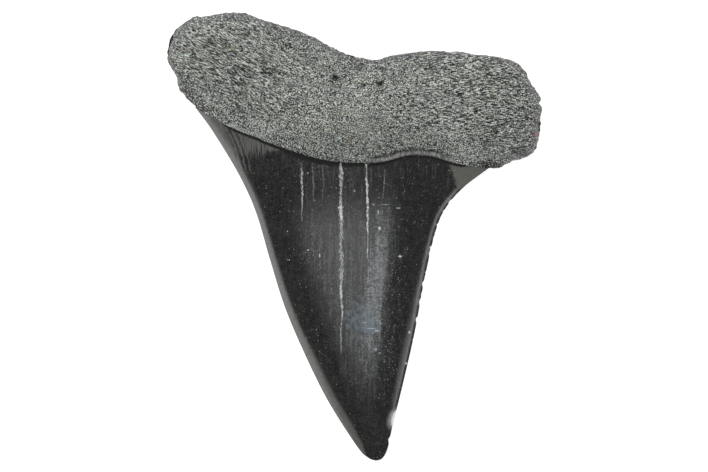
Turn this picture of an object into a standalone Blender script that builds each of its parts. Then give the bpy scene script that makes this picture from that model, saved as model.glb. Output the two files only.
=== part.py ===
"""Fossil great white shark tooth, lying on its labial (outer) face, with its lingual face up.

The tooth grew as one piece, so it is one solid: a bladed enamel crown and a two-lobed root.
It is drawn as one outline in plan. Each of its two faces is a skin of triangles that fills the
outline and is raised to that face's height, and the two skins meet along the outline.
Lengths are millimetres until the mesh is made. X runs across the tooth, Y runs from the tip
towards the root, and Z runs up from the surface that the tooth lies on.
"""

import bpy
import numpy as np
from mathutils import Vector, noise
from mathutils.geometry import delaunay_2d_cdt
from mathutils.kdtree import KDTree

MM = 0.001

# Outline in plan

TIP = (2.5, -25.25)
LEFT_SHOULDER = (-17.7, 14.3)
RIGHT_SHOULDER = (15.05, 7.5)
RIGHT_EDGE = [
    TIP, (3.2, -25.0), (3.8, -23.9), (4.35, -21.4), (5.65, -16.1), (6.85, -10.8), (7.85, -5.4),
    (9.05, 0.0), (10.2, 2.9), (12.25, 5.35), RIGHT_SHOULDER,
]
LEFT_EDGE = [
    LEFT_SHOULDER, (-15.8, 11.7), (-12.9, 6.9), (-11.0, 2.7), (-9.4, -2.7), (-7.7, -8.1),
    (-5.4, -13.5), (-2.8, -18.7), (0.4, -23.7), (1.65, -24.95), TIP,
]
RIGHT_LOBE = [
    RIGHT_SHOULDER, (16.3, 7.55), (17.7, 8.3), (19.55, 8.8), (20.55, 10.2), (20.8, 12.6),
    (21.0, 14.1), (20.75, 14.8), (20.95, 15.4), (19.85, 17.0), (18.8, 18.9), (17.2, 19.75),
]
ROOT_TOP = [
    (13.2, 20.4), (8.2, 20.7), (4.2, 20.15), (2.2, 19.8), (-0.4, 20.1), (-2.9, 21.35), (-5.4, 22.7),
    (-7.8, 23.45), (-11.0, 24.5), (-13.7, 25.0),
]
LEFT_LOBE = [
    (-16.4, 24.6), (-18.4, 24.2), (-20.1, 22.6), (-20.85, 19.9), (-20.45, 18.6), (-19.85, 17.6),
    (-19.6, 16.4), LEFT_SHOULDER,
]
ROOT_OUTLINE = [*RIGHT_LOBE, *ROOT_TOP, *LEFT_LOBE]

# Where the enamel stops: the line across the lingual face, and the one across the labial face

LINGUAL_LINE = [
    LEFT_SHOULDER, (-14.0, 12.2), (-11.0, 11.0), (-8.8, 10.1), (-3.6, 8.5), (1.2, 8.1),
    (3.6, 8.3), (5.8, 8.9), (8.4, 8.9), (11.4, 8.1), RIGHT_SHOULDER,
]
LABIAL_LINE = [LEFT_SHOULDER, (-11.5, 12.6), (-4.0, 12.2), (3.5, 11.4), (10.0, 9.6), RIGHT_SHOULDER]

# Heights above the surface

CROWN_RIM = 0.8
ROOT_RIM = 3.1
RIM_CLIMB = (1.0, 15.0)
ROOT_DOME = 4.5
BOSS = {"height": 1.5, "x": 0.0, "y": 12.4, "wide": 8.5, "long": 3.8}
NOTCH_HOLLOW = {"height": -0.9, "x": 1.2, "y": 18.6, "wide": 3.6, "long": 2.6}
LEDGE_HEIGHT = 0.75
LEDGE_RADIUS = 0.45
LEDGE_REACH = 3.5
LABIAL_STEP = 0.3
ARCH_HEIGHT = 1.0
ARCH_MIDDLE = -3.0
ARCH_HALF_LENGTH = 15.0
ROOT_CHANNEL = {"height": 1.0, "x": 0.8, "y": 17.0, "wide": 5.5, "long": 7.0}
PRESSED_FLAT = 0.25

# The crown's upper face: a steep bevel at each cutting edge, and a dome over the rest. Lengths
# that change along the crown are pairs of y and length.

BEVEL_HEIGHT = {"left": 0.86, "right": 0.55}
BEVEL_WIDTH_LEFT = [(-25.1, 0.7), (-14.0, 0.7), (-4.0, 0.52), (9.0, 0.5)]
BEVEL_WIDTH_RIGHT = [(-25.1, 0.24), (0.0, 0.24), (5.2, 0.26), (7.5, 1.3), (9.0, 1.5)]
BEVEL_FADE = (-27.0, -21.0)
DOME_HEIGHT = [
    (-25.1, 0.05), (-22.0, 0.4), (-18.0, 1.35), (-14.0, 2.05), (-11.0, 2.35), (-7.0, 2.6),
    (0.0, 2.8), (5.0, 2.65), (9.0, 2.45),
]
DOME_WIDTH_LEFT = [(-25.1, 1.0), (-20.0, 2.2), (-10.0, 3.6), (0.0, 4.4), (9.0, 4.6)]
DOME_WIDTH_RIGHT = [(-25.1, 0.5), (-20.0, 1.0), (-10.0, 2.1), (0.0, 3.3), (9.0, 4.2)]
DOME_START = 0.4

# Depths inside the outline between which a feature grows to its full height

MOUND_INSET = (0.0, 4.0)
LUMP_INSET = (0.0, 1.0)
LEDGE_INSET = (0.3, 4.0)

# Distances above the labial enamel line: where the step climbs and sinks again, where the lumps
# begin, and where the crown's lower edge turns into the root's

LABIAL_STEP_CLIMB = (-0.05, 0.3)
LABIAL_STEP_SINK = (2.0, 6.0)
LABIAL_LUMPS = (0.0, 1.5)
LABIAL_TURN = (-2.0, 3.0)

# How fast the other faces climb away from the rim

CROWN_UNDER_BEVEL = 1.8
ROOT_BEVEL = 1.6
ROOT_UNDER_BEVEL = 1.0
ROOT_ROUNDNESS = 0.58
EDGE_BLEND = 2.6

# Surface of the root: broad lumps, each set cut from its own layer of the noise, and the mouths
# of its feeding canals as x, y and radius

LUMP_SIZE = 3.2
LUMP_HEIGHT = 0.22
RIM_LUMP_SIZE = 1.5
RIM_LUMP_HEIGHT = 0.16
LINGUAL_LUMPS_LAYER = 0.5
RIM_LUMPS_LAYER = 3.5
LABIAL_LUMPS_LAYER = 7.5
CANALS = [
    (-1.95, 17.55, 0.34), (0.8, 18.6, 0.28), (3.35, 18.45, 0.3), (2.95, 16.9, 0.26),
    (1.2, 16.65, 0.24),
]
CANAL_DEPTH = 0.7

# Mesh: lengths between points, and how near one set of points may come to another

SPAN_SAMPLES = 24
LINE_STEP = 0.25
RIM_STEP = 0.85
ROW_STEP = 0.75
FILL_STEP = 0.9
RING_OFFSETS = (0.05, 0.22, 0.55, 1.1, 1.8)
LEDGE_ROWS = (-0.8, -0.4, -0.08, 0.1, 0.35, 0.9)
ROW_RIM_GAP = 0.35
RING_GAP = 0.25
RING_SLACK = 0.9
FILL_GAP = 0.6
LIP_RADII = 1.2
LIP_POINTS = 8
TOUCHING = 1e-5
ON_RIM = 1e-6


def smooth_line(points, step):
    """A Catmull-Rom line through the points, cut into even lengths of about step."""
    p = np.array(points, float)
    p = np.vstack([2 * p[0] - p[1], p, 2 * p[-1] - p[-2]])
    t = np.linspace(0, 1, SPAN_SAMPLES, endpoint=False)[:, None]
    spans = []
    for a, b, c, d in zip(p[:-3], p[1:-2], p[2:-1], p[3:]):
        slope = c - a
        bend = 2 * a - 5 * b + 4 * c - d
        turn = 3 * b - 3 * c + d - a
        spans.append(b + 0.5 * t * (slope + t * (bend + t * turn)))
    line = np.vstack([*spans, p[-2:-1]])
    length = np.concatenate([[0], np.cumsum(np.linalg.norm(np.diff(line, axis=0), axis=1))])
    count = max(2, round(length[-1] / step) + 1)
    even = np.linspace(0, length[-1], count)
    return np.column_stack([np.interp(even, length, line[:, k]) for k in (0, 1)])


def distance_to(line, xy):
    """How far each point of xy is from the line."""
    nearest = np.full(len(xy), np.inf)
    for a, b in zip(line[:-1], line[1:]):
        along = b - a
        t = np.clip((xy - a) @ along / (along @ along), 0, 1)
        nearest = np.minimum(nearest, np.linalg.norm(xy - a - t[:, None] * along, axis=1))
    return nearest


def ease(value, start, end):
    """0 before start, 1 after end, and a smooth climb between them."""
    t = np.clip((value - start) / (end - start), 0, 1)
    return t * t * (3 - 2 * t)


def mound(xy, height, x, y, wide, long):
    """A rounded rise of that height, or a hollow if it is negative."""
    return height * np.exp(-(((xy[:, 0] - x) / wide) ** 2) - ((xy[:, 1] - y) / long) ** 2)


def lumps(xy, size, layer):
    """Smooth noise from -1 to 1 with features of that size."""
    return np.array([noise.noise(Vector((x / size, y / size, layer))) for x, y in xy])


SIDES = [
    smooth_line(RIGHT_EDGE, LINE_STEP),
    smooth_line(ROOT_OUTLINE, LINE_STEP),
    smooth_line(LEFT_EDGE, LINE_STEP),
]


def depth_inside(xy):
    """Distance from the outline, rounded off where the left and right edges are equally near."""
    near = sum(np.maximum(distance_to(side, xy), ON_RIM) ** -EDGE_BLEND for side in SIDES)
    return near ** (-1 / EDGE_BLEND)


def above_line(line, xy):
    """Distance from an enamel line, positive on the root's side of it."""
    side = np.sign(xy[:, 1] - np.interp(xy[:, 0], line[:, 0], line[:, 1]))
    return side * distance_to(line, xy)


def rim_height(xy):
    return CROWN_RIM + (ROOT_RIM - CROWN_RIM) * ease(xy[:, 1], *RIM_CLIMB)


def canal_mouths(xy):
    """Depth of the feeding canals' mouths, the small round pits below the notch."""
    depth = np.zeros(len(xy))
    for x, y, radius in CANALS:
        depth += CANAL_DEPTH * np.exp(-(((xy[:, 0] - x) ** 2 + (xy[:, 1] - y) ** 2) / radius**2))
    return depth


def along_crown(pairs, y):
    """A length that changes smoothly along the crown."""
    line = smooth_line(pairs, LINE_STEP)
    return np.interp(y, line[:, 0], line[:, 1])


def crown_height(xy, depth):
    """The bevels at the cutting edges and the dome between them, which is steeper on the right."""
    y = xy[:, 1]
    to_right = distance_to(SIDES[0], xy)
    to_left = distance_to(SIDES[2], xy)
    left = ease(to_right / (to_left + to_right), 0, 1)

    def between(on_left, on_right):
        return on_right + (on_left - on_right) * left

    bevel = between(BEVEL_HEIGHT["left"], BEVEL_HEIGHT["right"]) * ease(y, *BEVEL_FADE)
    width = between(along_crown(BEVEL_WIDTH_LEFT, y), along_crown(BEVEL_WIDTH_RIGHT, y))
    bevel *= 1 - np.exp(-depth / width)
    width = between(along_crown(DOME_WIDTH_LEFT, y), along_crown(DOME_WIDTH_RIGHT, y))
    dome_depth = np.hypot(depth, DOME_START) - DOME_START
    dome = along_crown(DOME_HEIGHT, y) * (1 - np.exp(-dome_depth / width))
    return rim_height(xy) + bevel + dome


def lingual_height(xy):
    """The upper face: a domed crown, and a thicker root that ends over it in a rounded ledge."""
    depth = depth_inside(xy)
    above = above_line(LINGUAL, xy)
    rim = rim_height(xy)
    crown = crown_height(xy, depth)
    root = rim + ROOT_DOME * (1 - np.exp(-depth / ROOT_BEVEL)) ** ROOT_ROUNDNESS
    root += (mound(xy, **BOSS) + mound(xy, **NOTCH_HOLLOW)) * ease(depth, *MOUND_INSET)
    root += LUMP_HEIGHT * lumps(xy, LUMP_SIZE, LINGUAL_LUMPS_LAYER) * ease(depth, *LUMP_INSET)
    root -= canal_mouths(xy)
    rootness = ease(above, 0, LEDGE_REACH)
    nose = np.sqrt(1 - (1 - np.clip(above / LEDGE_RADIUS, 0, 1)) ** 2)
    ledge = LEDGE_HEIGHT * nose * (1 - rootness) * ease(depth, *LEDGE_INSET)
    return crown + (root - crown) * rootness + ledge


def labial_height(xy):
    """The lower face: nearly flat, arched between the root and the tip, and flat where it rests."""
    depth = depth_inside(xy)
    above = above_line(LABIAL, xy)
    rim = rim_height(xy)
    along = np.clip((xy[:, 1] - ARCH_MIDDLE) / ARCH_HALF_LENGTH, -1, 1)
    arch = ARCH_HEIGHT * (1 - along**2) ** 2
    face = arch + mound(xy, **ROOT_CHANNEL) - PRESSED_FLAT
    face += LABIAL_STEP * ease(above, *LABIAL_STEP_CLIMB) * (1 - ease(above, *LABIAL_STEP_SINK))
    face += LUMP_HEIGHT * lumps(xy, LUMP_SIZE, LABIAL_LUMPS_LAYER) * ease(above, *LABIAL_LUMPS)
    rootness = ease(above, *LABIAL_TURN)
    crown_drop = 1 - np.exp(-depth / CROWN_UNDER_BEVEL)
    root_drop = (1 - np.exp(-depth / ROOT_UNDER_BEVEL)) ** ROOT_ROUNDNESS
    drop = crown_drop + (root_drop - crown_drop) * rootness
    return np.maximum(rim - (rim - face) * drop, 0)


LINGUAL = smooth_line(LINGUAL_LINE, LINE_STEP)
LABIAL = smooth_line(LABIAL_LINE, LINE_STEP)


def outline(step):
    """The closed outline, anticlockwise from the tip, with the root's broken edge roughened."""
    right = smooth_line(RIGHT_EDGE, step)
    root = smooth_line(ROOT_OUTLINE, step)
    left = smooth_line(LEFT_EDGE, step)
    rough = np.zeros(len(root))
    rough[1:-1] = RIM_LUMP_HEIGHT * lumps(root[1:-1], RIM_LUMP_SIZE, RIM_LUMPS_LAYER)
    root = root + inward(root) * rough[:, None]
    return np.vstack([right[:-1], root[:-1], left[:-1]])


def inward(line, closed=False):
    """Unit vectors to the left of the line's direction, which point into the outline."""
    if closed:
        ends = np.roll(line, -1, axis=0) - np.roll(line, 1, axis=0)
    else:
        ends = np.gradient(line, axis=0)
    ends /= np.linalg.norm(ends, axis=1)[:, None]
    return np.column_stack([-ends[:, 1], ends[:, 0]])


def spaced(candidates, fixed, gap):
    """The candidates that are at least gap away from every fixed point."""
    tree = KDTree(len(fixed))
    for index, (x, y) in enumerate(fixed):
        tree.insert((x, y, 0), index)
    tree.balance()
    far = [tree.find((x, y, 0))[2] >= gap for x, y in candidates]
    return candidates[np.array(far, bool)]


def inside(candidates, offset):
    """The candidates that lie inside the outline by at least offset."""
    loop = np.vstack([RIM, RIM[:1]])
    x, y = candidates.T
    crossings = np.zeros(len(candidates), int)
    for (ax, ay), (bx, by) in zip(loop[:-1], loop[1:]):
        if ay != by:
            spans = (ay > y) != (by > y)
            crossings += spans & (x < ax + (y - ay) * (bx - ax) / (by - ay))
    return candidates[(crossings % 2 == 1) & (distance_to(loop, candidates) >= offset)]


RIM = outline(RIM_STEP)


def rings():
    """Points on lines that run round the tooth inside its rim, staggered from ring to ring."""
    found = []
    towards = inward(RIM, closed=True)
    for number, offset in enumerate(RING_OFFSETS):
        line = RIM + towards * offset
        if number % 2 == 0:
            line = (line + np.roll(line, -1, axis=0)) / 2
        found.append(inside(line, RING_SLACK * offset))
    return found


def rows(line):
    """Lines of points beside an enamel line, close together where the ledge climbs."""
    across = inward(line)
    every = round(ROW_STEP / LINE_STEP)
    found = [line[::every] + across[::every] * offset for offset in LEDGE_ROWS]
    return [inside(row, ROW_RIM_GAP) for row in found]


def canal_points():
    """The bottom of each canal's mouth, and points round its lip."""
    turn = np.linspace(0, 2 * np.pi, LIP_POINTS, endpoint=False)
    circle = np.column_stack([np.cos(turn), np.sin(turn)])
    found = [np.vstack([(0, 0), LIP_RADII * radius * circle]) + (x, y) for x, y, radius in CANALS]
    return np.vstack(found)


def fill():
    """An even triangular grid over the tooth's whole plan."""
    low = RIM.min(axis=0)
    high = RIM.max(axis=0)
    found = []
    for number, y in enumerate(np.arange(low[1], high[1], FILL_STEP * 3**0.5 / 2)):
        x = np.arange(low[0] + FILL_STEP / 2 * (number % 2), high[0], FILL_STEP)
        found.append(np.column_stack([x, np.full(len(x), y)]))
    return inside(np.vstack(found), RING_OFFSETS[-1] + FILL_STEP / 2)


def skin_plan(line, features):
    """Points inside the rim and the triangles over rim and points, in plan, for one face.

    The rim and the rows beside the enamel line stay edges of the triangles, so that the ledge
    is straight along them.
    """
    points = features
    edges = [(k, (k + 1) % len(RIM)) for k in range(len(RIM))]
    for row in rows(line):
        first = len(RIM) + len(points)
        edges += [(k, k + 1) for k in range(first, first + len(row) - 1)]
        points = np.vstack([points, row])
    for ring in rings():
        points = np.vstack([points, spaced(ring, points, RING_GAP)])
    points = np.vstack([points, spaced(fill(), points, FILL_GAP)])
    corners = [Vector(p) for p in np.vstack([RIM, points])]
    placed, _, faces, origins, _, _ = delaunay_2d_cdt(corners, edges, [], 1, TOUCHING)
    assert len(placed) == len(corners), "two points of the plan fell together"
    source = [group[0] for group in origins]
    return points, [tuple(source[corner] for corner in face) for face in faces]


def tooth_mesh():
    """One closed mesh: the rim, the lingual skin above it and the labial skin below it."""
    top, top_faces = skin_plan(LINGUAL, canal_points())
    under, under_faces = skin_plan(LABIAL, np.empty((0, 2)))
    first_under = len(RIM) + len(top)
    shift = first_under - len(RIM)
    flipped = [
        tuple(k if k < len(RIM) else k + shift for k in reversed(face)) for face in under_faces
    ]
    plan = np.vstack([RIM, top, under])
    height = np.concatenate([rim_height(RIM), lingual_height(top), labial_height(under)])
    middle = (RIM.min(axis=0) + RIM.max(axis=0)) / 2
    solid = np.column_stack([plan - middle, height - height.min()]) * MM
    mesh = bpy.data.meshes.new("tooth")
    mesh.from_pydata(solid.tolist(), [], top_faces + flipped)
    mesh.validate()
    return mesh


def finish(name, color, roughness):
    """A plain material of that colour."""
    material = bpy.data.materials.new(name)
    material.use_nodes = True
    shader = material.node_tree.nodes["Principled BSDF"]
    shader.inputs["Base Color"].default_value = (*color, 1)
    shader.inputs["Roughness"].default_value = roughness
    shader.inputs["Metallic"].default_value = 0
    return material


def main():
    for old in list(bpy.data.objects):
        bpy.data.objects.remove(old, do_unlink=True)
    mesh = tooth_mesh()
    mesh.shade_smooth()
    mesh.materials.append(finish("fossil tooth", (0.08, 0.08, 0.08), 0.5))
    tooth = bpy.data.objects.new("tooth", mesh)
    bpy.context.scene.collection.objects.link(tooth)


main()
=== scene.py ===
"""Fossil great white shark tooth: the finish of its enamel and its bone, on a plain studio stage.

The tooth is made again as a fine mesh from the driving dimensions of its solid, so it stays where
the solid is. Its root then gets the grain of the bone, its crown the cracks, and both get their
materials. Plan lengths are millimetres in the mesh functions: X runs across the tooth, Y from the
tip towards the root, and Z up from the surface that the tooth lies on. Objects are in metres.
"""

import math

import bpy
import numpy as np
from bpy.props import FloatProperty, FloatVectorProperty, IntProperty, PointerProperty
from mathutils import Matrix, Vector, noise
from mathutils.geometry import delaunay_2d_cdt
from mathutils.kdtree import KDTree


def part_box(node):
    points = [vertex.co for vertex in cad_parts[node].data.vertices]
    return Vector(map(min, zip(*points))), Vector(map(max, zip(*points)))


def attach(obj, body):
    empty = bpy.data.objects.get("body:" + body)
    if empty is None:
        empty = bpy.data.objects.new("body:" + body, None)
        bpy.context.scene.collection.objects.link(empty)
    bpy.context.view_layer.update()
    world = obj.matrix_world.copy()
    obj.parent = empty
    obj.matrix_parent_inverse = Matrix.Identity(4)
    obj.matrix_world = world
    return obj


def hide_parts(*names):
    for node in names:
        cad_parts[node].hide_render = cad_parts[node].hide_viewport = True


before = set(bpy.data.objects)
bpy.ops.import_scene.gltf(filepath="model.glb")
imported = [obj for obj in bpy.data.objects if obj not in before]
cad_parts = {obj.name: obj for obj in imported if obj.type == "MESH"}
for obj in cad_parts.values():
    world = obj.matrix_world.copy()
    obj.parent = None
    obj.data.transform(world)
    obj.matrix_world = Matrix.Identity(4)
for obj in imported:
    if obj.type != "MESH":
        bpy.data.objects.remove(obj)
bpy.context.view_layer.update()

bl_info = {
    "name": "Fossil Shark Tooth",
    "version": (1, 0, 0),
    "blender": (4, 5, 0),
    "location": "View3D > Sidebar > Fossil Tooth",
    "description": "Builds a fossil shark tooth with grained bone and glossy enamel, and its stage",
    "category": "Object",
}

TOOTH_LOW, TOOTH_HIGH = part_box("tooth")
MM = 0.001

# Outline in plan

TIP = (2.5, -25.25)
LEFT_SHOULDER = (-17.7, 14.3)
RIGHT_SHOULDER = (15.05, 7.5)
RIGHT_EDGE = [
    TIP, (3.2, -25.0), (3.8, -23.9), (4.35, -21.4), (5.65, -16.1), (6.85, -10.8), (7.85, -5.4),
    (9.05, 0.0), (10.2, 2.9), (12.25, 5.35), RIGHT_SHOULDER,
]
LEFT_EDGE = [
    LEFT_SHOULDER, (-15.8, 11.7), (-12.9, 6.9), (-11.0, 2.7), (-9.4, -2.7), (-7.7, -8.1),
    (-5.4, -13.5), (-2.8, -18.7), (0.4, -23.7), (1.65, -24.95), TIP,
]
RIGHT_LOBE = [
    RIGHT_SHOULDER, (16.3, 7.55), (17.7, 8.3), (19.55, 8.8), (20.55, 10.2), (20.8, 12.6),
    (21.0, 14.1), (20.75, 14.8), (20.95, 15.4), (19.85, 17.0), (18.8, 18.9), (17.2, 19.75),
]
ROOT_TOP = [
    (13.2, 20.4), (8.2, 20.7), (4.2, 20.15), (2.2, 19.8), (-0.4, 20.1), (-2.9, 21.35), (-5.4, 22.7),
    (-7.8, 23.45), (-11.0, 24.5), (-13.7, 25.0),
]
LEFT_LOBE = [
    (-16.4, 24.6), (-18.4, 24.2), (-20.1, 22.6), (-20.85, 19.9), (-20.45, 18.6), (-19.85, 17.6),
    (-19.6, 16.4), LEFT_SHOULDER,
]
ROOT_OUTLINE = [*RIGHT_LOBE, *ROOT_TOP, *LEFT_LOBE]

# Where the enamel stops: the line across the lingual face, and the one across the labial face

LINGUAL_LINE = [
    LEFT_SHOULDER, (-14.0, 12.2), (-11.0, 11.0), (-8.8, 10.1), (-3.6, 8.5), (1.2, 8.1),
    (3.6, 8.3), (5.8, 8.9), (8.4, 8.9), (11.4, 8.1), RIGHT_SHOULDER,
]
LABIAL_LINE = [LEFT_SHOULDER, (-11.5, 12.6), (-4.0, 12.2), (3.5, 11.4), (10.0, 9.6), RIGHT_SHOULDER]

# Heights above the surface

CROWN_RIM = 0.8
ROOT_RIM = 3.1
RIM_CLIMB = (1.0, 15.0)
ROOT_DOME = 4.5
BOSS = {"height": 1.5, "x": 0.0, "y": 12.4, "wide": 8.5, "long": 3.8}
NOTCH_HOLLOW = {"height": -0.9, "x": 1.2, "y": 18.6, "wide": 3.6, "long": 2.6}
LEDGE_HEIGHT = 0.75
LEDGE_RADIUS = 0.45
LEDGE_REACH = 3.5
LABIAL_STEP = 0.3
ARCH_HEIGHT = 1.0
ARCH_MIDDLE = -3.0
ARCH_HALF_LENGTH = 15.0
ROOT_CHANNEL = {"height": 1.0, "x": 0.8, "y": 17.0, "wide": 5.5, "long": 7.0}
PRESSED_FLAT = 0.25

# The crown's upper face: a steep bevel at each cutting edge, and a dome over the rest. Lengths
# that change along the crown are pairs of y and length.

BEVEL_HEIGHT = {"left": 0.86, "right": 0.55}
BEVEL_WIDTH_LEFT = [(-25.1, 0.7), (-14.0, 0.7), (-4.0, 0.52), (9.0, 0.5)]
BEVEL_WIDTH_RIGHT = [(-25.1, 0.24), (0.0, 0.24), (5.2, 0.26), (7.5, 1.3), (9.0, 1.5)]
BEVEL_FADE = (-27.0, -21.0)
DOME_HEIGHT = [
    (-25.1, 0.05), (-22.0, 0.4), (-18.0, 1.35), (-14.0, 2.05), (-11.0, 2.35), (-7.0, 2.6),
    (0.0, 2.8), (5.0, 2.65), (9.0, 2.45),
]
DOME_WIDTH_LEFT = [(-25.1, 1.0), (-20.0, 2.2), (-10.0, 3.6), (0.0, 4.4), (9.0, 4.6)]
DOME_WIDTH_RIGHT = [(-25.1, 0.5), (-20.0, 1.0), (-10.0, 2.1), (0.0, 3.3), (9.0, 4.2)]
DOME_START = 0.4
RIGHT_LIP = 0.3

# How fast the other faces climb away from the rim

CROWN_UNDER_BEVEL = 1.8
ROOT_BEVEL = 1.6
ROOT_UNDER_BEVEL = 1.0
ROOT_ROUNDNESS = 0.58
EDGE_BLEND = 2.6

# Lumps of the root and the mouths of its feeding canals: x, y, radius

LUMP_SIZE = 3.2
LUMP_HEIGHT = 0.22
RIM_LUMP_SIZE = 1.5
RIM_LUMP_HEIGHT = 0.16
RIM_CRUMB_SIZE = 0.4
RIM_CRUMB_HEIGHT = 0.11
CANALS = [
    (-1.95, 17.55, 0.34), (0.8, 18.6, 0.28), (3.35, 18.45, 0.3), (2.95, 16.9, 0.26), (1.2, 16.65, 0.24),
]
CANAL_DEPTH = 0.7
MOUTHS = [(1.0, 1.0, 0.95), (0.85, 0.7, 0.6), (0.5, 1.1, 1.0), (0.95, 1.25, 0.85), (0.75, 0.8, 0.65)]
MOUTH_WARP = 0.3
MOUTH_GRAIN = 0.3

# Where the finish changes, in plan. Each pair of lists runs y or x against a width or a place.

# Widths of the cutting edges' light bands against y: thin enamel and painted reflection of the floor
LEFT_BAND = (
    (-24.9, -24.3, -23.4, -21, -14, -10, -4, 4, 7.2, 9.6, 11.9, 14.3),
    (0, 0.3, 0.65, 0.95, 1.0, 0.8, 0.72, 0.58, 0.6, 1.2, 1.6, 2.0),
)
RIGHT_BAND = ((-21.5, -19, -10, 2, 5, 7), (0, 0.4, 0.55, 0.55, 0.5, 0))
# Borders of the painted sheen, the painted reflection of the overhead light in the crown's middle
SHEEN_RIGHT = (
    (-16.7, -12.8, -10.5, -7.2, -6.0, -1.6, 4.0, 8.0),
    (2.7, 3.1, 3.4, 3.6, 3.8, 4.15, 4.5, 4.8),
)
SHEEN_LEFT = ((-16.7, -7.2, -3.5, -0.5, 4.0, 8.0), (-1.0, -3.9, -5.8, -6.2, -6.6, -7.0))
# Strength along y of the brighter streak in the painted sheen
SHEEN_STREAK_ALONG = (
    (-17, -13, -10.5, -8.0, -3.8, -1.0, 1.0, 5.5),
    (0, 0.35, 0.95, 1.2, 1.15, 0.55, 0.3, 0),
)
COMB_LENGTH = ((-13.9, -13.4, -12.8, -10.9, -9.2, -7.0), (0, 2.6, 3.8, 2.8, 1.1, 0))
SHADE_WIDTH = ((-14, -9, -6.5, -1.5, 2, 12), (0.3, 0.35, 0.7, 0.6, 0.4, 0.35))
FOLD_LINE = [(-14.9, 12.9), (-14.4, 12.0), (-13.6, 10.4), (-13.15, 9.1), (-12.7, 7.4), (-12.4, 6.4)]
SCRATCH_LINE = [(-11.8, 17.6), (-10.0, 18.05), (-8.4, 18.0), (-6.6, 17.9), (-5.7, 17.5)]
THINNEST_BAND = 0.01
SHORTEST_COMB = 0.01

# Spans of the finish: where it starts, is full, begins to fade and ends. ALONG runs in x, or in y
# for the fold, DOWN towards the tip, and ACROSS away from the enamel line, the border or the fold.

RIDGE_ALONG = (1.2, 2.4, 10.2, 11.6)
RIDGE_ACROSS = (0.02, 0.1, 0.5, 0.65)
LEFT_LIP_ALONG = (-14.6, -13.4, -9.5, -8.0)
LIP_ACROSS = (0.06, 0.12, 0.26, 0.38)
SHADOW_LINE_ACROSS = (0.45, 0.55, 0.75, 0.95)
SHEEN_STREAK_ACROSS = (0.05, 0.85, 1.4, 3.0)
DUST_ACROSS = (0, 0.1, 0.7, 2.0)
DUST_DOWN = (0, 3, 17, 20)
FOLD_ACROSS = (-0.3, 0.1, 1.0, 1.5)
FOLD_ALONG = (6.5, 8.0, 12.0, 12.8)

# Climbs of the finish: where it starts and where it is full

SHEEN_BORDER = (-1.2, 0.35)
SHEEN_INNER = (-0.4, 2.4)
SHEEN_TIP = (-20, -12)
SHEEN_ROOT = (-2, 6)
SPILL_BORDER = (-2.8, -0.5)
SPILL_START = (0, 2)
LINES_BELOW = (0.3, 5.0)
COMB_FADE = (0.3, 1.05)
SHADE_BELOW = (-1.4, -0.4)
SHADE_INWARD = (0.8, 2)
THIN_START = (10.0, 11.4)
THIN_BELOW = (2.4, 3.4)
THIN_SLANT = 0.35
RIM_STRIP = (0.16, 0.3)

# Shares of the painted sheen (painted reflection in the crown's middle) that are lost towards the root
# and spill over its border, how much darker the root's scratch is, and how much painted shade darkens its
# rim

SHEEN_LOSS = 0.95
SHEEN_SPILL = 0.2
SCRATCH_TONE = 2.4
RIM_PAINTED_SHADE = 3.0

# The bone's fibres: how steeply they dip on the left lobe, and how fast they change up a wall

FIBRE_SLOPE = 0.52
WALL_GRAIN = 0.2

# Soft patches in plan: strength, x, y, half width in x, half width in y

CLOUDS = [(0.75, 0.8, -9.5, 1.9, 2.5), (1.0, 2.0, -10.4, 0.9, 0.4), (0.7, 2.3, -12.7, 0.4, 0.35)]
BONE_TONES = [
    (-1.5, -13.9, 13.9, 2.2, 1.3), (-0.9, 17.5, 9.6, 2.2, 0.9), (1.1, -1.6, 9.2, 0.25, 0.8),
    (0.6, -8.0, 12.6, 3.0, 1.4), (-0.9, -18.5, 17.0, 0.8, 2.0), (-0.6, 8.0, 9.8, 4.0, 0.6),
    (-2.6, 14.8, 8.0, 1.3, 0.5), (-1.6, 18.6, 9.3, 1.6, 0.5), (0.5, -18.0, 21.5, 1.6, 0.8),
    (-0.9, -9.5, 22.5, 3.0, 0.9), (-0.7, 15.5, 17.5, 1.6, 0.8), (-0.6, 20.3, 13.0, 1.6, 4.5),
]
DUST_PATCHES = [
    (0.9, -5.3, -1.4, 1.6, 1.9), (0.7, -2.6, -5.5, 1.6, 2.4), (0.9, -3.6, -11.5, 0.7, 2.0),
    (1.0, 5.0, -8.0, 1.0, 5.0), (1.0, 3.2, -14.5, 0.9, 2.2), (0.45, 0.0, 6.0, 9.0, 2.5),
]

# Pale flecks on the enamel: x, y, half width in x, half width in y, paleness

FLECKS = [
    (6.15, -10.7, 0.14, 0.2, 0.6), (5.8, -14.2, 0.2, 0.14, 0.6), (2.65, 2.75, 0.1, 0.3, 0.5),
    (2.8, 0.95, 0.16, 0.22, 0.8), (5.1, -2.2, 0.24, 0.13, 0.85),
    (3.4, 3.6, 0.5, 0.06, 0.35), (4.9, 3.2, 0.3, 0.1, 0.4), (-5.2, 7.1, 0.09, 0.09, 0.6),
    (-5.2, -1.5, 0.12, 0.1, 0.7), (-3.9, -2.1, 0.09, 0.22, 0.7), (-7.5, 0.6, 0.08, 0.08, 0.7),
    (-7.3, -2.6, 0.07, 0.07, 0.8), (2.1, 3.6, 0.14, 0.08, 0.5), (0.0, 5.1, 0.1, 0.1, 0.5),
    (1.9, -10.25, 0.6, 0.07, 0.4), (2.5, -10.5, 0.3, 0.1, 0.6), (2.4, -12.6, 0.12, 0.2, 0.5),
    (2.8, -13.0, 0.2, 0.07, 0.45), (1.2, -9.6, 0.3, 0.07, 0.25), (2.9, -9.7, 0.1, 0.16, 0.4),
]

# How far noise shifts the flecks, the size of the dust's cells, and how far apart the folds are

FLECK_WARP = 0.12
DUST_SIZE = 0.17
FOLD_SPACING = 0.5

# Coloured spots of the bone, and the painted highlight by the tip with the painted glow round it: x, y
# and both half widths

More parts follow.
